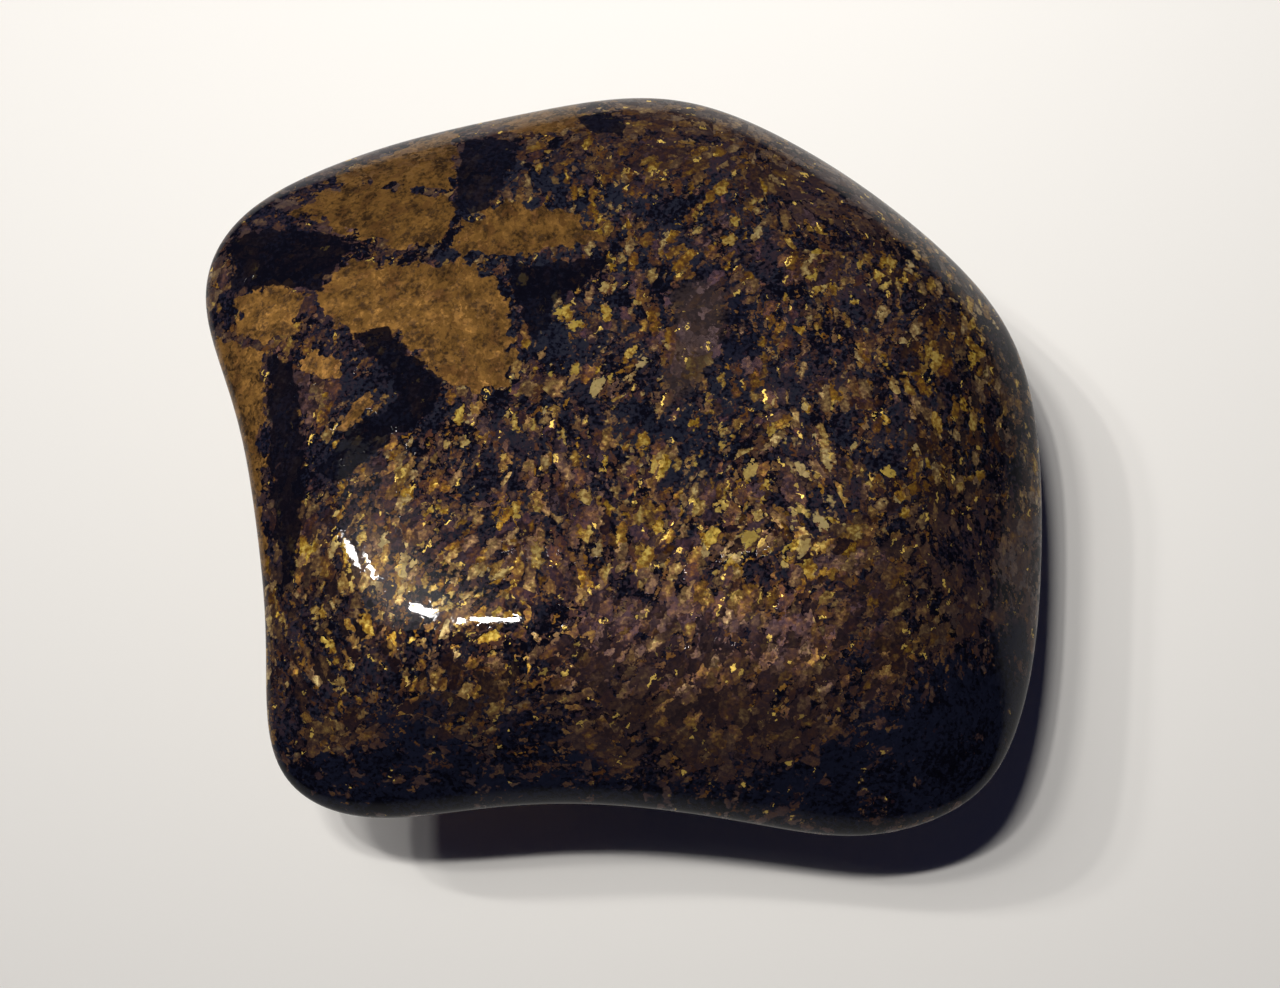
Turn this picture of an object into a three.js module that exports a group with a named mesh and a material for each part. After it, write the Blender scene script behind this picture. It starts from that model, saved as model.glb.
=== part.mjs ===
// A piece of bronzite, tumbled and polished to a smooth cushion with five worn sides.
// Units are millimetres and +Z is up. +X runs along the stone's longest side and +Y across it,
// towards the two sides that meet in a blunt point. The origin is on the surface that the stone
// rests on, under the middle of the stone's outline.

import * as THREE from 'three';
import { mergeVertices } from 'three/addons/utils/BufferGeometryUtils.js';

// Each face of the broken lump that the tumbler wore down. Its outward direction is given by turn,
// the degrees from +X towards +Y, and rise, the degrees above level. reach is how far the face lies
// from the lump's middle. crown is the radius that the face is bulged to, and is negative where the
// face is hollowed instead.
const UPPER_FACES = [
  { name: 'top', turn: 100, rise: 85, reach: 3.5, crown: 600 },
  { name: 'shoulder far left', turn: 105, rise: 40, reach: 16.4, crown: 227 },
  { name: 'shoulder far right', turn: 49, rise: 39, reach: 16.3, crown: 87 },
  { name: 'shoulder left', turn: 191, rise: 51, reach: 12.1, crown: -600 },
  { name: 'shoulder right', turn: -8, rise: 44, reach: 13.1, crown: -600 },
  { name: 'shoulder near', turn: -91, rise: 40, reach: 11.9, crown: 600 },
  { name: 'shoulder near right', turn: -43, rise: 44, reach: 25.8, crown: 70 },
  { name: 'shoulder near left', turn: -137, rise: 42, reach: 25.7, crown: 60 },
  { name: 'shoulder far left corner', turn: 151, rise: 45, reach: 26.2, crown: 58 },
];
const LOWER_FACES = [
  { name: 'side far left', turn: 101, rise: -20, reach: 21.5, crown: 531 },
  { name: 'side far right', turn: 55, rise: -20, reach: 21.1, crown: 61 },
  { name: 'side right', turn: 6, rise: -16, reach: 22.5, crown: 600 },
  { name: 'side near', turn: -93, rise: -24, reach: 15.8, crown: -26 },
  { name: 'side left', turn: 190, rise: -20, reach: 16.7, crown: -29 },
  { name: 'corner near left', turn: -137, rise: -16, reach: 33.5, crown: 35 },
  { name: 'corner near right', turn: -41, rise: -16, reach: 46, crown: 36 },
  { name: 'corner far left', turn: 148, rise: -16, reach: 31.4, crown: 37 },
  { name: 'underside', turn: 0, rise: -90, reach: 10.7, crown: 38 },
];

// How far the wear has blended the edges between upper faces and between lower faces, and how far it
// has blended the stone's rim, where the upper faces meet the lower ones.
const WEAR = 1.5;
const RIM_WEAR = 0.5;

// Height of the cap that is missing under the stone, where it is worn to the flat resting spot.
const FLAT_SPOT_DEPTH = 0.35;

// No point of the stone is further from its middle than this.
const LONGEST_RADIUS = 34;
const RADIUS_HALVINGS = 40;

// The facets are spread as on an ellipsoid of these half lengths, so that they come out even, and
// then gathered towards the rim, which curves most.
const SPREAD = new THREE.Vector3(20, 18, 10);
const GATHERED_AT_RIM = 0.5;
const SPHERE_DETAIL = 20;

const BRONZITE_BROWN = 0x42362f;
const POLISHED_ROUGHNESS = 0.12;
const BRONZY_METALNESS = 0.15;

function outwardDirection({ turn, rise }) {
  const polar = THREE.MathUtils.degToRad(90 - rise);
  const azimuth = THREE.MathUtils.degToRad(turn);
  return new THREE.Vector3(
    Math.sin(polar) * Math.cos(azimuth),
    Math.sin(polar) * Math.sin(azimuth),
    Math.cos(polar),
  );
}

// A face is part of a big sphere, and this is the middle of that sphere.
function faceSphere(face) {
  return {
    centre: outwardDirection(face).multiplyScalar(face.reach - face.crown),
    radius: Math.abs(face.crown),
    side: Math.sign(face.crown),
  };
}

const upperSpheres = UPPER_FACES.map(faceSphere);
const lowerSpheres = LOWER_FACES.map(faceSphere);

// The greatest of some heights, rounded off where two of them are nearly equal.
function wornMaximum(heights, wear) {
  const highest = Math.max(...heights);
  const blend = heights.reduce((sum, height) => sum + Math.exp((height - highest) / wear), 0);
  return highest + wear * Math.log(blend);
}

function heightAboveFaces(point, spheres) {
  const heights = spheres.map(
    ({ centre, radius, side }) => side * (point.distanceTo(centre) - radius),
  );
  return wornMaximum(heights, WEAR);
}

// Height of a point above the stone's surface. It is the height above the face that the point is
// furthest outside of, and near an edge the faces blend, which rounds the edge.
function heightAboveStone(point) {
  const aboveUpper = heightAboveFaces(point, upperSpheres);
  const aboveLower = heightAboveFaces(point, lowerSpheres);
  return wornMaximum([aboveUpper, aboveLower], RIM_WEAR);
}

function radiusAlong(direction) {
  let inside = 0;
  let outside = LONGEST_RADIUS;
  for (let step = 0; step < RADIUS_HALVINGS; step += 1) {
    const middle = (inside + outside) / 2;
    const point = direction.clone().multiplyScalar(middle);
    if (heightAboveStone(point) > 0) {
      outside = middle;
    } else {
      inside = middle;
    }
  }
  return (inside + outside) / 2;
}

// A ball whose every point is moved out or in to the worn surface, then flattened where it rests.
function stoneGeometry() {
  const ball = new THREE.IcosahedronGeometry(1, SPHERE_DETAIL);
  ball.deleteAttribute('normal');
  ball.deleteAttribute('uv');
  const geometry = mergeVertices(ball);
  const positions = geometry.getAttribute('position');

  const point = new THREE.Vector3();
  let lowest = 0;
  for (let i = 0; i < positions.count; i += 1) {
    point.fromBufferAttribute(positions, i);
    point.z *= 1 - GATHERED_AT_RIM * (1 - point.z * point.z);
    point.multiply(SPREAD).normalize();
    point.multiplyScalar(radiusAlong(point));
    positions.setXYZ(i, point.x, point.y, point.z);
    lowest = Math.min(lowest, point.z);
  }

  const restingHeight = lowest + FLAT_SPOT_DEPTH;
  for (let i = 0; i < positions.count; i += 1) {
    positions.setZ(i, Math.max(positions.getZ(i), restingHeight));
  }

  geometry.computeBoundingBox();
  const { min, max } = geometry.boundingBox;
  geometry.translate(-(min.x + max.x) / 2, -(min.y + max.y) / 2, -min.z);
  geometry.computeVertexNormals();
  return geometry;
}

function polishedBronzite() {
  return new THREE.MeshStandardMaterial({
    color: BRONZITE_BROWN,
    roughness: POLISHED_ROUGHNESS,
    metalness: BRONZY_METALNESS,
  });
}

const stone = new THREE.Mesh(stoneGeometry(), polishedBronzite());
stone.name = 'stone';

const bronzite = new THREE.Group();
bronzite.add(stone);

export default bronzite;
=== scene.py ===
import math

import bpy
import numpy as np
from mathutils import Matrix, Vector


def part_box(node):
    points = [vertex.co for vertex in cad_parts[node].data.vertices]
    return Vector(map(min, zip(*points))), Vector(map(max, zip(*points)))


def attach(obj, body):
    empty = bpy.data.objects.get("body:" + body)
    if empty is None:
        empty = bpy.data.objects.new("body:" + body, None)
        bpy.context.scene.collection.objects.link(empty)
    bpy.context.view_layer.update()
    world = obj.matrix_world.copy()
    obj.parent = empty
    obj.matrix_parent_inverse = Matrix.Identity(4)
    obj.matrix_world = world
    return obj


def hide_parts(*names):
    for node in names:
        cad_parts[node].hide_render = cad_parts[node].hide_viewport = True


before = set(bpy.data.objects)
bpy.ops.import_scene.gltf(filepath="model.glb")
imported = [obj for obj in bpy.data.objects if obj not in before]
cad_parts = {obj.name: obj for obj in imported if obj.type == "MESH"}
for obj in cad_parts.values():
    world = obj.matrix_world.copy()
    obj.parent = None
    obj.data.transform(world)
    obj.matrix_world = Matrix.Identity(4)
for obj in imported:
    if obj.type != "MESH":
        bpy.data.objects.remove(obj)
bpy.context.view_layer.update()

MM = 0.001


# The stone: one piece of bronzite, broken from a bigger lump and tumbled until its faces were
# worn into each other. The upper faces meet the lower ones in a tighter rim all round it.
# Each face is a slight bulge or hollow. It is given by the way it faces (degrees round from +X,
# degrees up), its distance from the stone's middle and the radius of its bulge, both in mm, with
# a minus where it is hollow.
UPPER_FACES = {
    "top": (100, 85, 3.5, 600),
    "shoulder far left": (105, 40, 16.4, 227),
    "shoulder far right": (49, 39, 16.3, 87),
    "shoulder left": (191, 51, 12.1, -600),
    "shoulder right": (-8, 44, 13.1, -600),
    "shoulder near": (-91, 40, 11.9, 600),
    "shoulder near right": (-43, 44, 25.8, 70),
    "shoulder near left": (-137, 42, 25.7, 60),
    "shoulder far left corner": (151, 45, 26.2, 58),
}
LOWER_FACES = {
    "side far left": (101, -20, 21.5, 531),
    "side far right": (55, -20, 21.1, 61),
    "side right": (6, -16, 22.5, 600),
    "side near": (-93, -24, 15.8, -26),
    "side left": (190, -20, 16.7, -29),
    "corner near left": (-137, -16, 33.5, 35),
    "corner near right": (-41, -16, 46.0, 36),
    "corner far left": (148, -16, 31.4, 37),
    "underside": (0, -90, 10.7, 38),
}
WEAR = 1.5
RIM_WEAR = 0.5
FLAT_SPOT_DEPTH = 0.35
LONGEST_RADIUS = 34
RADIUS_HALVINGS = 34
MESH_CUTS = 128
STONE_SPREAD = np.array([20, 18, 10])


def facing(turn, rise):
    """The direction that is turn degrees round from +X and rise degrees up."""
    turn, rise = math.radians(turn), math.radians(rise)
    level = math.cos(rise)
    return np.array([math.cos(turn) * level, math.sin(turn) * level, math.sin(rise)])


def worn_maximum(heights, wear):
    """The greatest of some heights, rounded off where two of them are nearly equal."""
    highest = heights.max(0)
    return highest + wear * np.log(np.exp((heights - highest) / wear).sum(0))


def height_above_faces(points, faces):
    """How far points in mm lie outside some faces that are worn into each other."""
    heights = []
    for turn, rise, reach, crown in faces.values():
        centre = facing(turn, rise) * (reach - crown)
        away = np.linalg.norm(points - centre, axis=1)
        heights.append(np.sign(crown) * (away - abs(crown)))
    return worn_maximum(np.array(heights), WEAR)


def height_above_stone(points):
    """How far points in mm lie outside the whole stone."""
    above = [height_above_faces(points, faces) for faces in (UPPER_FACES, LOWER_FACES)]
    return worn_maximum(np.array(above), RIM_WEAR)


def cube_ball():
    """Directions over a cube that is cut into squares, and the squares' corners."""
    across = np.tan(np.linspace(-1, 1, MESH_CUTS + 1) * math.pi / 4)
    u, v = np.meshgrid(across, across, indexing="ij")
    one = np.ones_like(u)
    sides = [(one, u, v), (-one, v, u), (v, one, u), (u, -one, v), (u, v, one), (v, u, -one)]
    corners = np.concatenate([np.stack(side, -1).reshape(-1, 3) for side in sides])
    i, j = np.meshgrid(np.arange(MESH_CUTS), np.arange(MESH_CUTS), indexing="ij")
    first = (i * (MESH_CUTS + 1) + j).ravel()
    square = np.stack([first, first + MESH_CUTS + 1, first + MESH_CUTS + 2, first + 1], 1)
    per_side = (MESH_CUTS + 1) ** 2
    squares = np.concatenate([square + k * per_side for k in range(len(sides))])
    _, keep, joined = np.unique(corners.round(6), axis=0, return_index=True, return_inverse=True)
    directions = corners[keep] * STONE_SPREAD
    directions /= np.linalg.norm(directions, axis=1)[:, None]
    return directions, joined.ravel()[squares]


def worn_surface(directions):
    """The stone's surface in each direction, in mm from its middle."""
    inside = np.zeros(len(directions))
    outside = np.full(len(directions), float(LONGEST_RADIUS))
    for _ in range(RADIUS_HALVINGS):
        middle = (inside + outside) / 2
        out = height_above_stone(directions * middle[:, None]) > 0
        outside = np.where(out, middle, outside)
        inside = np.where(out, inside, middle)
    return directions * inside[:, None]


directions, squares = cube_ball()
surface = worn_surface(directions)

# Grinding left long, very low waves in the surface, under the fine polish.
WAVE_LENGTH = 11.0
WAVE_HEIGHT = 0.02
WAVE_COUNT = 6
waves = np.random.default_rng(5)
for _ in range(WAVE_COUNT):
    along = waves.normal(size=3)
    along *= 2 * math.pi / WAVE_LENGTH / np.linalg.norm(along)
    swell = np.sin(surface @ along + waves.uniform(0, 2 * math.pi))
    surface += directions * (WAVE_HEIGHT * swell)[:, None]

surface[:, 2] = np.maximum(surface[:, 2], surface[:, 2].min() + FLAT_SPOT_DEPTH)
stone_low, stone_high = (np.array(corner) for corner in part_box("stone"))
span = surface.max(0) - surface.min(0)
surface = stone_low + (surface - surface.min(0)) / span * (stone_high - stone_low)

stone_mesh = bpy.data.meshes.new("polished_bronzite")
stone_mesh.from_pydata(surface.tolist(), [], squares.tolist())
stone_mesh.validate()
stone_mesh.shade_smooth()
stone = bpy.data.objects.new("polished_bronzite", stone_mesh)
bpy.context.scene.collection.objects.link(stone)

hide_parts("stone")
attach(stone, "root")


# The crystals that the polish cut through. Most of the stone is a crush of small bronze flakes in
# blue-black ground, but by the far left corner a few crystals were big enough to show as plates,
# with bare dark wedges between them. Along the near edge and the near right corner the flakes are
# made fewer and dimmer: painted shade, where the stone turns away from the lamp.
# The outlines are x, y in mm on the stone's top, and the other values are in mm too.
BRONZE_PLATES = [
    [(-16.6, 11.5), (-14.7, 13.3), (-11.2, 12.7), (-8.8, 11.9), (-8.2, 10.6), (-9.0, 9.4),
     (-11.3, 8.9), (-14.7, 10.6)],
    [(-19.3, 6.8), (-17.5, 7.6), (-15.7, 6.5), (-16.2, 4.4), (-18.7, 4.3)],
    [(-15.4, 6.6), (-13.4, 8.3), (-10.3, 8.0), (-7.5, 8.1), (-5.7, 6.5), (-5.2, 2.8),
     (-5.4, 1.2), (-7.0, 0.8), (-8.9, 1.7), (-11.1, 4.5), (-13.2, 4.1)],
    [(-22.0, 5.5), (-19.1, 4.2), (-17.7, 3.7), (-17.5, -2.9), (-17.2, -7.1), (-22.0, -6.9)],
    [(-8.5, 8.8), (-7.6, 10.5), (-5.7, 11.7), (-2.3, 10.9), (-1.1, 9.3), (-5.0, 8.4)],
    [(-16.0, 3.0), (-15.0, 3.4), (-13.7, 3.0), (-13.5, 1.9), (-14.5, 1.7), (-15.7, 2.4)],
    [(-14.3, -1.0), (-13.7, -0.4), (-12.6, 0.9), (-12.0, 0.9), (-12.5, -0.3), (-13.8, -1.2)],
    [(-15.6, 13.6), (-13.5, 14.7), (-8.9, 17.3), (-8.5, 15.2), (-8.5, 12.3), (-11.2, 13.1),
     (-14.4, 13.3)],
    [(-7.1, 17.9), (-4.7, 18.6), (-2.4, 18.7), (-2.1, 16.4), (-5.2, 16.0)],
]
DARK_WEDGES = [
    [(-8.1, 16.2), (-5.2, 15.8), (-5.5, 14.0), (-6.3, 11.8), (-7.6, 10.9), (-8.4, 11.5)],
    [(-20.0, 10.4), (-16.7, 10.7), (-13.6, 9.5), (-15.0, 6.7), (-17.4, 7.4), (-19.5, 7.2)],
    [(-13.1, 4.2), (-11.5, 4.5), (-10.2, 2.8), (-8.6, 1.5), (-9.1, -0.1), (-11.5, -1.9),
     (-13.1, -3.4), (-14.6, -3.0), (-13.0, -0.9), (-10.8, 0.3), (-11.1, 1.8), (-12.2, 3.1)],
    [(-5.8, 7.9), (-0.6, 8.1), (-3.0, 5.9), (-4.2, 3.4), (-4.9, 5.2)],
    [(-2.3, 17.2), (-1.1, 17.6), (0.2, 17.1), (-0.1, 15.9), (-1.6, 16.1)],
    [(-17.5, 3.4), (-16.1, 3.0), (-15.6, 0.8), (-15.2, -4.3), (-15.5, -8.0), (-16.2, -8.5),
     (-16.7, -4.0)],
]
BROWN_SMEARS = [
    [(2.4, 6.3), (3.9, 7.0), (5.3, 6.2), (5.0, 3.8), (3.6, 0.9), (2.3, -0.1), (2.0, 1.4),
     (2.7, 3.8)],
]
# Outline of the painted shade along the near edge and the near right corner, where the stone turns
# away from the lamp. Inside it the flakes are thinned and dimmed.
PAINTED_SHADE_NEAR_EDGE = [
    (19.6, -9.6), (15.5, -11.9), (12.0, -14.2), (8.3, -16.4), (3.7, -17.2), (0.0, -17.3),
    (-4.6, -16.4), (-9.0, -16.3), (-13.5, -16.4), (-16.5, -15.8), (-20.0, -16.5), (-20.0, -19.0),
    (-13.0, -20.5), (10.5, -21.0), (19.0, -19.0), (22.0, -12.6),
]
PAINTED_SHADE_STARTS = -0.9
PAINTED_SHADE_IS_WHOLE = 1.6
LOWEST_PLATE = 6.0

# How the flakes lie in each part of the top: x, y in mm, the share of the surface that they
# cover, how bright they are from 0 to 1, and the way that they point, in degrees from +X. The
# painted shade at the near edge has a share below nothing, so only the thickest flake clumps reach
# it.
FLAKE_ZONES = {
    "far rim": (3.0, 15.8, 0.85, 0.4, 20),
    "far rim right": (10.4, 12.7, 0.55, 0.33, 140),
    "far rim left": (-13.0, 16.2, 0.35, 0.25, 15),
    "round flakes": (5.2, 11.3, 0.35, 0.56, 60),
    "dark saddle": (-1.5, 10.1, 0.2, 0.5, 75),
    "dark saddle near": (-2.3, 5.2, 0.25, 0.6, 80),
    "middle": (1.4, 2.5, 0.42, 0.66, 85),
    "brown smear": (3.7, 4.6, 0.25, 0.35, 75),
    "far right": (10.5, 6.4, 0.45, 0.58, 80),
    "right edge": (15.8, 1.2, 0.45, 0.5, 100),
    "right edge near": (16.3, -7.0, 0.5, 0.3, 95),
    "right lumps": (12.6, -2.1, 0.35, 0.62, 50),
    "blue patch": (3.0, -1.4, 0.2, 0.5, 80),
    "golden streaks": (7.3, -5.2, 0.62, 0.7, 85),
    "soft middle": (-1.2, -7.3, 0.7, 0.5, 75),
    # The flakes under the lamp are set brighter, partly as a painted glow round the lamp's
    # highlight.
    "under the lamp": (-10.8, -7.3, 0.68, 0.64, 80),
    "grey left": (-12.4, -2.0, 0.3, 0.5, 60),
    "left of middle": (-7.1, -2.9, 0.34, 0.56, 65),
    "left edge": (-15.8, -7.4, 0.6, 0.5, 85),
    "near left": (-11.9, -12.2, 0.5, 0.5, 110),
    "dark lumps": (-5.5, -13.6, 0.38, 0.5, 60),
    "purple middle": (0.9, -12.3, 0.9, 0.36, 60),
    "purple right": (6.2, -12.6, 0.9, 0.36, 75),
    "near right": (12.6, -9.0, 0.7, 0.42, 60),
    # These two near-edge zones are dim as part of the painted shade along the near edge.
    "near edge left": (-10.5, -16.6, 0.2, 0.35, 0),
    "near dusk": (-4.6, -15.8, 0.3, 0.3, 0),
    "left side": (-17.9, -2.2, 0.6, 0.3, 90),
}
# How many flakes are left inside the painted shade at the near edge, and how bright they are.
FLAKES_LEFT_IN_PAINTED_SHADE = -0.25
BRIGHTNESS_IN_PAINTED_SHADE = 0.2
ZONE_SOFTNESS = 1.6
ELSEWHERE = (0.45, 0.4, 75)
TOP_STARTS = 5.0
TOP_IS_WHOLE = 8.5


def depth_inside(x, y, outline):
    """How far points lie inside an outline, in mm, with a minus outside it."""
    nearest = np.full(len(x), np.inf)
    inside = np.zeros(len(x), bool)
    for (ax, ay), (bx, by) in zip(outline, outline[1:] + outline[:1]):
        run, climb = bx - ax, by - ay
        along = np.clip(((x - ax) * run + (y - ay) * climb) / (run**2 + climb**2), 0, 1)
        nearest = np.minimum(nearest, np.hypot(x - ax - along * run, y - ay - along * climb))
        if climb:
            crossed = (ay > y) != (by > y)
            inside ^= crossed & (x < ax + (y - ay) * run / climb)
    return np.where(inside, nearest, -nearest)


x, y, z = (surface / MM).T
topness = np.clip((z - TOP_STARTS) / (TOP_IS_WHOLE - TOP_STARTS), 0, 1)
pulls = []
for zone_x, zone_y, _, _, _ in FLAKE_ZONES.values():
    pulls.append(1 / ((x - zone_x) ** 2 + (y - zone_y) ** 2 + ZONE_SOFTNESS**2) ** 2)
pull = np.array(pulls)
pull /= pull.sum(0)
lies = np.array([zone[2:] for zone in FLAKE_ZONES.values()])
share, brightness, lie = (lies.T @ pull) * topness + np.outer(ELSEWHERE, 1 - topness)
# Painted shade: how far each point lies inside the near-edge outline, fading in over a band.
corner = depth_inside(x, y, PAINTED_SHADE_NEAR_EDGE) - PAINTED_SHADE_STARTS
corner = np.clip(corner / (PAINTED_SHADE_IS_WHOLE - PAINTED_SHADE_STARTS), 0, 1) * topness
share += corner * (FLAKES_LEFT_IN_PAINTED_SHADE - share)
brightness += corner * (BRIGHTNESS_IN_PAINTED_SHADE - brightness)
plates = np.max([depth_inside(x, y, outline) for outline in BRONZE_PLATES], axis=0)
wedges = np.max([depth_inside(x, y, outline) for outline in DARK_WEDGES], axis=0)
smears = np.max([depth_inside(x, y, outline) for outline in BROWN_SMEARS], axis=0)


def paint(name, values):
    """Stores one number for every corner of the stone's mesh."""
    stone_mesh.attributes.new(name, "FLOAT", "POINT").data.foreach_set("value", values)


paint("flake_share", share)
paint("flake_brightness", brightness)
paint("flake_lie", np.radians(lie))
paint("plate_depth", np.minimum(plates, z - LOWEST_PLATE))
paint("wedge_depth", np.minimum(wedges, z - LOWEST_PLATE))
paint("smear_depth", np.minimum(smears, z - LOWEST_PLATE))
paint("sides_and_under", 1 - topness)


# The bronzite itself, as the polish shows it: crystal grains of a few millimetres, each crushed
# into flakes that lie one way. Each flake mirrors the light a little differently, which gives the
# bronze shimmer. The ground between them is blue-black. The polish is a hard clear gloss.
BLUE_BLACK = (0.003, 0.0029, 0.0062, 1)
SLATE = (0.0078, 0.0092, 0.02, 1)
BLUE_GREY = (0.017, 0.0185, 0.028, 1)
PURPLE_BROWN = (0.031, 0.019, 0.025, 1)
# Purple-brown laid over the flakes in dull zones: partly their own dull tone, partly painted shade
# for flakes turned away from the lamp.
PURPLE_VEIL_AND_SHADE = (0.07, 0.043, 0.049, 1)
SMEAR_BROWN = (0.035, 0.024, 0.023, 1)
PLATE_SHADE = (0.035, 0.019, 0.009, 1)
PLATE_LIGHT = (0.225, 0.113, 0.029, 1)
PLATE_RED = (0.115, 0.052, 0.018, 1)
FLAKE_TONES = [
    (0.0, (0.008, 0.0065, 0.011, 1)),
    (0.3, (0.026, 0.016, 0.018, 1)),
    (0.5, (0.062, 0.035, 0.024, 1)),
    (0.66, (0.125, 0.074, 0.038, 1)),
    (0.82, (0.235, 0.152, 0.065, 1)),
    (1.0, (0.48, 0.365, 0.16, 1)),
]
# Colour of the painted glints: bright yellow specks standing in for crystals that mirror the lamp.
GLINT_YELLOW = (0.8, 0.55, 0.12, 1)

bronzite = bpy.data.materials.new("polished_bronzite")
bronzite.use_nodes = True
bronzite.node_tree.nodes.clear()


def add(kind, feeds, **settings):
    """One shader node with its settings, its inputs set or fed by name or number."""
    node = bronzite.node_tree.nodes.new("ShaderNode" + kind)
    for name, value in settings.items():
        setattr(node, name, value)
    for name, value in feeds.items():
        if isinstance(value, bpy.types.NodeSocket):
            bronzite.node_tree.links.new(value, node.inputs[name])
        else:
            node.inputs[name].default_value = value
    return node


def reckon(work, first, second, third=0.0):
    """One piece of arithmetic on two or three numbers."""
    return add("Math", {0: first, 1: second, 2: third}, operation=work).outputs[0]


def plus(first, second):
    """The sum of two numbers."""
    return reckon("ADD", first, second)


def minus(first, second):
    """One number less another."""
    return reckon("SUBTRACT", first, second)


def times(first, second):
    """The product of two numbers."""
    return reckon("MULTIPLY", first, second)


def greater(first, second):
    """The greater of two numbers."""
    return reckon("MAXIMUM", first, second)


def with_some(base, value, amount):
    """A number with some of another added to it."""
    return reckon("MULTIPLY_ADD", value, amount, base)


def swing(value, amount):
    """Turns a number from 0 to 1 into one that swings evenly round nothing."""
    return times(minus(value, 0.5), amount)


def moved(first, second, work="ADD"):
    """One piece of arithmetic on two vectors."""
    return add("VectorMath", {0: first, 1: second}, operation=work).outputs[0]


def scaled(vector, amount):
    """A vector made longer or shorter."""
    return add("VectorMath", {0: vector, "Scale": amount}, operation="SCALE").outputs[0]


def shift_of(colour):
    """A random colour as a shift that goes every way alike."""
    return moved(colour, (0.5, 0.5, 0.5), "SUBTRACT")


def fade(value, start, end, low=0.0, high=1.0):
    """Goes smoothly from low to high as value goes from start to end."""
    feeds = {"Value": value, "From Min": start, "From Max": end, "To Min": low, "To Max": high}
    return add("MapRange", feeds, interpolation_type="SMOOTHSTEP").outputs[0]


def cloud(place, size, detail):
    """Cloudy noise whose lumps are about size mm across."""
    return add("TexNoise", {"Vector": place, "Scale": 1 / size, "Detail": detail}).outputs


def crystals(place, size):
    """Space cut into crystals about size mm across, each with its own random colour."""
    return add("TexVoronoi", {"Vector": place, "Scale": 1 / size}).outputs


def over(under, above, amount):
    """One colour laid over another."""
    return add("Mix", {0: amount, 6: under, 7: above}, data_type="RGBA").outputs[2]


def painted(name):
    """A number stored on the mesh."""
    return add("Attribute", {}, attribute_name=name).outputs["Fac"]


def parts_of(vector):
    """The three numbers of a vector or random colour."""
    return add("SeparateXYZ", {0: vector}).outputs


# Grains have ragged edges: every place is shifted a little before it is sorted into grains.
GRAIN_SIZE = 5.2
JOLT_SIZE = 1.3
JOLT = 2.4
here = scaled(add("TexCoord", {}).outputs["Object"], 1 / MM)
jolt = shift_of(cloud(here, JOLT_SIZE, 4.0)["Color"])
ragged = moved(here, scaled(jolt, JOLT))
grain = crystals(ragged, GRAIN_SIZE)
grain_x, grain_y, grain_z = parts_of(grain["Color"])

# Inside one grain the flakes share a direction, near the way the zone lies. The direction goes in
# steps, so that no flake is bent. Each grain's flakes are from another part of space, too.
GRAIN_TILT = 0.7
GRAIN_TURN = 1.2
TURN_STEP = 0.4
FLAKE_SQUEEZE = (0.5, 1.0, 0.8)
GRAINS_APART = 57.0
tilt_x = swing(grain_x, GRAIN_TILT)
tilt_y = swing(grain_y, GRAIN_TILT)
turn = plus(plus(swing(grain_z, GRAIN_TURN), TURN_STEP / 2), painted("flake_lie"))
angles = add("CombineXYZ", {0: tilt_x, 1: tilt_y, 2: reckon("SNAP", turn, TURN_STEP)}).outputs[0]
feeds = {"Vector": here, "Rotation": angles}
turned = add("VectorRotate", feeds, rotation_type="EULER_XYZ", invert=True).outputs[0]
stretched = moved(turned, FLAKE_SQUEEZE, "MULTIPLY")
stretched = moved(stretched, scaled(grain["Color"], GRAINS_APART))

# Three sizes of crystal: flakes, the chips they broke into, and the specks for painted pin-point
# glints. Each is thickest at its middle, so a crystal that the polish only just reached shows as
# a small core.
FLAKE_SIZE = 0.47
CHIP_SIZE = 0.23
GLINT_SIZE = 0.17
FRAY_SIZE = 0.3
FRAY = 0.6
CHIP_FRAY = 0.2
SPECKLE_SIZE = 0.2
fray = shift_of(cloud(here, FRAY_SIZE, 3.0)["Color"])
frayed = moved(stretched, scaled(fray, FRAY))
flake = crystals(frayed, FLAKE_SIZE)
flake_x, flake_y, flake_z = parts_of(flake["Color"])
flake_core = minus(0.5, flake["Distance"])
chip = crystals(moved(frayed, scaled(fray, CHIP_FRAY)), CHIP_SIZE)
chip_x, chip_y, chip_z = parts_of(chip["Color"])
chip_core = minus(0.5, chip["Distance"])
glint_x, glint_y, _ = parts_of(crystals(frayed, GLINT_SIZE)["Color"])
speckle = minus(cloud(here, SPECKLE_SIZE, 2.0)["Fac"], 0.5)

# Flakes come in clumps, with chips round them.
CLUMP_SIZE = 2.0
CLUMPING = 2.6
CHIP_SHARE = 0.75
CHIP_THICKNESS = 0.7
FLAKE_EDGE = 0.12
clump = swing(cloud(ragged, CLUMP_SIZE, 2.0)["Fac"], CLUMPING)
share_here = plus(painted("flake_share"), clump)
flake_depth = plus(minus(share_here, flake_x), flake_core)
flake_here = fade(flake_depth, -FLAKE_EDGE, FLAKE_EDGE)
chip_depth = minus(times(share_here, CHIP_SHARE), chip_x)
chip_here = fade(with_some(chip_depth, chip_core, CHIP_THICKNESS), -FLAKE_EDGE, FLAKE_EDGE)

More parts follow.
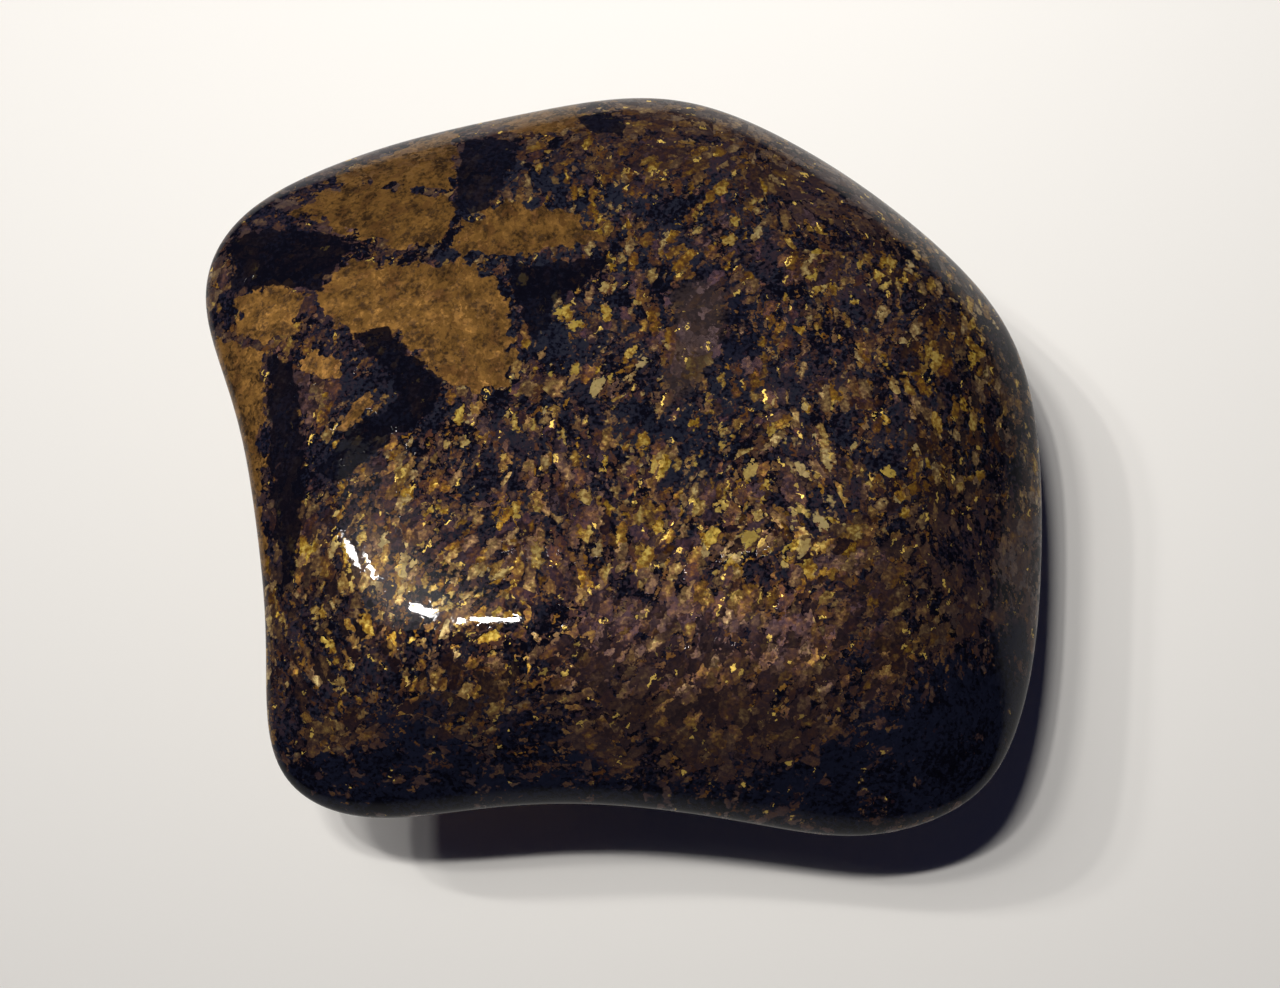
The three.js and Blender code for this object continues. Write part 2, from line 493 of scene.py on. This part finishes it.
# The ground: blue-black and slate, greyer among bright flakes, and purple-brown in patches where
# it isn't bare of flakes.
MURK_SIZE = 2.6
SPECKLE_IN_GROUND = 1.1
CHIPS_IN_GROUND = 0.25
CHIPS_IN_PURPLE = 0.3
BARE_IS_BLUER = 0.06
murk = cloud(ragged, MURK_SIZE, 3.0)["Fac"]
mottle = with_some(murk, speckle, SPECKLE_IN_GROUND)
bare_here = fade(painted("flake_share"), start=0.25, end=0.45, low=1.0, high=0.0)
grit = plus(mottle, swing(chip_y, CHIPS_IN_GROUND))
slate_here = fade(with_some(grit, bare_here, BARE_IS_BLUER), start=0.36, end=0.68)
grey_here = fade(painted("flake_brightness"), start=0.35, end=0.55, high=0.85)
purple_here = fade(with_some(mottle, chip_z, CHIPS_IN_PURPLE), start=0.66, end=0.95)
ground = over(BLUE_BLACK, SLATE, slate_here)
ground = over(ground, BLUE_GREY, times(grey_here, fade(grit, start=0.42, end=0.7)))
ground = over(ground, PURPLE_BROWN, times(purple_here, minus(1.0, bare_here)))

# How bright each flake is: by chance, over a range that is wider and starts lower where the zone
# is lively, and then brighter at its middle, with speckles and fine threads along it.
DULL_ZONE = 0.3
DULLEST = 0.25
DULLEST_IN_LIVELY = -0.35
RANGE = 0.35
RANGE_IN_LIVELY = 1.75
BRIGHTER_CORE = 0.35
SPECKLE_IN_FLAKES = 0.8
THREAD_SIZE = 0.6
THREAD_SQUEEZE = (0.8, 5.0, 3.0)
THREADS_IN_FLAKES = 0.25
threads = cloud(moved(frayed, THREAD_SQUEEZE, "MULTIPLY"), THREAD_SIZE, 3.0)["Fac"]
liveliness = minus(painted("flake_brightness"), DULL_ZONE)
dullest = with_some(DULLEST, liveliness, DULLEST_IN_LIVELY)
tone = with_some(dullest, flake_y, with_some(RANGE, liveliness, RANGE_IN_LIVELY))
tone = with_some(tone, flake_core, BRIGHTER_CORE)
tone = with_some(tone, speckle, SPECKLE_IN_FLAKES)
tone = plus(tone, swing(threads, THREADS_IN_FLAKES))


def bronze(value):
    """The colour of a flake, from the dullest at 0 to the brightest at 1."""
    ramp = add("ValToRGB", {0: value})
    stops = ramp.color_ramp.elements
    stops.remove(stops[0])
    stops[0].position, stops[0].color = FLAKE_TONES[0]
    for place, colour in FLAKE_TONES[1:]:
        stops.new(place).color = colour
    return ramp.outputs[0]


def tinted(colour, redness, strength):
    """A flake's colour made a little redder or yellower, and stronger or not."""
    hue = fade(redness, start=0.0, end=1.0, low=0.493, high=0.504)
    saturation = fade(strength, start=0.0, end=1.0, low=1.0, high=1.3)
    return add("HueSaturation", {"Hue": hue, "Saturation": saturation, "Color": colour}).outputs[0]


# Over the ground lie the chips, the flakes with a purple veil in the dull zones that is partly
# painted shade, the brown smear and painted glints: bright yellow specks put into the colour
# where a crystal would mirror the lamp.
CHIP_OWN_TONE = 0.55
CHIP_SHARED_TONE = 0.35
SMEAR_SPECKLE = 1.5
SMEAR_STRENGTH = 0.75
chip_tone = plus(times(chip_y, CHIP_OWN_TONE), times(tone, CHIP_SHARED_TONE))
colour = over(ground, tinted(bronze(chip_tone), chip_x, chip_z), chip_here)
# Purple veil on flakes where the zone is dull, which is partly painted shade.
veil_and_shade = fade(painted("flake_brightness"), start=0.3, end=0.5, low=0.45, high=0.0)
flake_colour = over(tinted(bronze(tone), chip_z, flake_z), PURPLE_VEIL_AND_SHADE, veil_and_shade)
colour = over(colour, flake_colour, flake_here)
smear_depth = with_some(painted("smear_depth"), speckle, SMEAR_SPECKLE)
smear_here = times(fade(smear_depth, start=-0.3, end=0.5), SMEAR_STRENGTH)
colour = over(colour, SMEAR_BROWN, smear_here)
# Painted glints: sparse tiny crystals on flakes and chips are coloured bright yellow.
glint_here = times(fade(glint_x, start=0.98, end=0.982), greater(flake_here, chip_here))
colour = over(colour, GLINT_YELLOW, times(glint_here, glint_y))

# The plates, and the wedges laid over them, have nibbled edges. A few whole grains of the sides
# and the underside are plates or wedges as well.
PLATE_CLOUD_SIZE = 0.9
THREADS_IN_PLATES = 0.5
CHIPS_IN_PLATES = 0.25
SPECKLE_IN_PLATES = 0.6
NIBBLE_SIZE = 0.7
NIBBLE = 2.4
WEDGE_NIBBLE = 0.6
PLATE_EDGE = 0.05
WEDGE_STRENGTH = 0.95
plate_tone = plus(cloud(here, PLATE_CLOUD_SIZE, 6.0)["Fac"], swing(threads, THREADS_IN_PLATES))
plate_tone = plus(plate_tone, swing(chip_y, CHIPS_IN_PLATES))
plate_tone = with_some(plate_tone, speckle, SPECKLE_IN_PLATES)
plate_colour = over(PLATE_SHADE, PLATE_LIGHT, fade(plate_tone, start=0.22, end=0.74))
red_here = fade(times(grit, flake_y), start=0.25, end=0.6, high=0.7)
plate_colour = over(plate_colour, PLATE_RED, red_here)
wedge_colour = over(BLUE_BLACK, SLATE, fade(mottle, start=0.4, end=0.8, high=0.5))

nibble = swing(cloud(here, NIBBLE_SIZE, 5.0)["Fac"], NIBBLE)
plate_here = fade(plus(painted("plate_depth"), nibble), -PLATE_EDGE, PLATE_EDGE)
hidden_plate = fade(times(grain_x, painted("sides_and_under")), start=0.74, end=0.76)
plate_here = greater(plate_here, hidden_plate)
wedge_depth = plus(painted("wedge_depth"), times(nibble, WEDGE_NIBBLE))
wedge_here = fade(wedge_depth, -PLATE_EDGE, PLATE_EDGE)
hidden_wedge = fade(times(grain_y, painted("sides_and_under")), start=0.8, end=0.82)
wedge_here = greater(wedge_here, hidden_wedge)
colour = over(colour, plate_colour, plate_here)
colour = over(colour, wedge_colour, times(wedge_here, WEDGE_STRENGTH))

# Shine: bronze mirrors light like a dull metal, the ground hardly at all. Each flake leans its own
# way and each chip quivers a little on it.
CHIP_METAL = 0.6
BRONZE_METAL = 0.5
GROUND_ROUGHNESS = 0.6
BRONZE_ROUGHNESS = 0.45
FLAKE_LEAN = 0.5
CHIP_LEAN = 0.3
metal = greater(greater(flake_here, times(chip_here, CHIP_METAL)), plate_here)
metal = times(metal, minus(1.0, wedge_here))
roughness = fade(metal, start=0.0, end=1.0, low=GROUND_ROUGHNESS, high=BRONZE_ROUGHNESS)
face = add("NewGeometry", {}).outputs["Normal"]
lean = scaled(shift_of(flake["Color"]), times(flake_here, minus(1.0, plate_here)))
quiver = shift_of(chip["Color"])
leaning = moved(face, moved(scaled(lean, FLAKE_LEAN), scaled(quiver, CHIP_LEAN)))
leaning = add("VectorMath", {0: leaning}, operation="NORMALIZE").outputs[0]

# Polish: soft and hard crystals wear unevenly, so the gloss is very slightly uneven over them.
POLISH_WAVE_SIZE = 0.9
FLAKE_RELIEF = 0.12
POLISH_DEPTH = 0.008 * MM
relief = plus(cloud(here, POLISH_WAVE_SIZE, 2.0)["Fac"], times(flake_here, FLAKE_RELIEF))
polish = add("Bump", {"Height": relief, "Distance": POLISH_DEPTH, "Strength": 1.0})

shader = add("BsdfPrincipled", {
    "Base Color": colour,
    "Metallic": times(metal, BRONZE_METAL),
    "Roughness": roughness,
    "Normal": leaning,
    "Specular IOR Level": 0.0,
    "Coat Weight": 0.55,
    "Coat Roughness": 0.03,
    "Coat IOR": 1.4,
    "Coat Normal": polish.outputs["Normal"],
})
add("OutputMaterial", {"Surface": shader.outputs[0]})
stone_mesh.materials.append(bronzite)


# The view: a close look down on the stone, from the side where its edge is slightly hollow. The
# stone's middle sits a little left of and above the middle of the picture.
MIDDLE_OF_STONE = Vector((0.2, -1.8, 10.4)) * MM
LOOKING_DOWN = math.radians(70)
CAMERA_DISTANCE = 104.8 * MM
PICTURE_WIDTH_PX = 1280
STONE_LEFT_OF_CENTRE_PX = 15
STONE_ABOVE_CENTRE_PX = 29

camera_data = bpy.data.cameras.new("camera")
camera_data.lens = 60
camera_data.sensor_width = 36
camera_data.clip_start = 5 * MM
camera_data.shift_x = STONE_LEFT_OF_CENTRE_PX / PICTURE_WIDTH_PX
camera_data.shift_y = -STONE_ABOVE_CENTRE_PX / PICTURE_WIDTH_PX
camera = bpy.data.objects.new("camera", camera_data)
towards_camera = Vector((0, -math.cos(LOOKING_DOWN), math.sin(LOOKING_DOWN)))
camera.location = MIDDLE_OF_STONE + towards_camera * CAMERA_DISTANCE
camera.rotation_euler = towards_camera.to_track_quat("Z", "Y").to_euler()
bpy.context.scene.collection.objects.link(camera)
bpy.context.scene.camera = camera


# The studio: plain pale paper under the stone, and a lamp with a few bright bars overhead to the
# left, inside a dim shade. The room round it is dark, so the stone's black stays black.
PAPER_SIZE = 900 * MM
PAPER_COLOUR = (0.87, 0.86, 0.83, 1)

paper_mesh = bpy.data.meshes.new("paper")
half = PAPER_SIZE / 2
paper_corners = [(-half, -half, 0), (half, -half, 0), (half, half, 0), (-half, half, 0)]
paper_mesh.from_pydata(paper_corners, [], [(0, 1, 2, 3)])
paper = bpy.data.objects.new("paper", paper_mesh)
bpy.context.scene.collection.objects.link(paper)
paper_finish = bpy.data.materials.new("pale_paper")
paper_finish.use_nodes = True
paper_shader = paper_finish.node_tree.nodes["Principled BSDF"]
paper_shader.inputs["Base Color"].default_value = PAPER_COLOUR
paper_shader.inputs["Roughness"].default_value = 0.9
paper_shader.inputs["Specular IOR Level"].default_value = 0.1
paper_mesh.materials.append(paper_finish)

# Each bar of the lamp: where its ends are, as sideways distance for each unit of height over the
# spot that mirrors it, its width in mm and its power in watts.
LAMP_HEIGHT = 270 * MM
MIRRORING_SPOT = Vector((-9, -10, 14)) * MM
LAMP_BARS = {
    "bar_far_left": ((-0.91, 0.37), (-0.81, 0.35), 12, 0.0255),
    "bar_left": ((-0.73, 0.34), (-0.68, 0.31), 10, 0.0295),
    "bar_middle": ((-0.46, 0.16), (-0.34, 0.13), 12, 0.0372),
    "bar_right": ((-0.27, 0.075), (-0.235, 0.07), 10, 0.0342),
    "bar_far_right": ((-0.215, 0.09), (-0.11, 0.1), 10, 0.0456),
}
SHADE_RINGS = {
    "shade_outer": ((-0.85, 0.33), (-0.08, 0.2), 150, 0.014),
    "shade_middle": ((-0.77, 0.3), (-0.16, 0.2), 100, 0.0086),
    "shade_inner": ((-0.67, 0.27), (-0.26, 0.2), 60, 0.004),
}
LAMP_COLOUR = (1.0, 0.97, 0.935)
LAMP_SPREAD = math.radians(72)
BRIGHTEST_SPOT = Vector((18, 55, 0)) * MM


def hang(name, start, end, width, watts, shape="RECTANGLE"):
    """Hangs one glowing strip over the stone, aimed at the brightest spot of the paper."""
    ends = [Vector((across, along, 1)) * LAMP_HEIGHT for across, along in (start, end)]
    middle = MIRRORING_SPOT + (ends[0] + ends[1]) / 2
    back = (middle - BRIGHTEST_SPOT).normalized()
    run = ends[1] - ends[0]
    run = run - back * run.dot(back)
    data = bpy.data.lights.new(name, "AREA")
    data.shape = shape
    data.size = run.length
    data.size_y = width * MM
    data.spread = LAMP_SPREAD
    data.energy = watts
    data.color = LAMP_COLOUR
    run.normalize()
    strip = bpy.data.objects.new(name, data)
    turned_to = Matrix((run, back.cross(run), back)).transposed()
    strip.matrix_world = Matrix.Translation(middle) @ turned_to.to_4x4()
    bpy.context.scene.collection.objects.link(strip)


for name, bar in LAMP_BARS.items():
    hang(name, *bar)
for name, ring in SHADE_RINGS.items():
    hang(name, *ring, "ELLIPSE")

ROOM_COLOUR = (0.36, 0.42, 1.0, 1)
ROOM_STRENGTH = 0.025
room = bpy.data.worlds.new("dim_room")
room.use_nodes = True
room.node_tree.nodes["Background"].inputs["Color"].default_value = ROOM_COLOUR
room.node_tree.nodes["Background"].inputs["Strength"].default_value = ROOM_STRENGTH
bpy.context.scene.world = room
bpy.context.scene.view_settings.view_transform = "Standard"
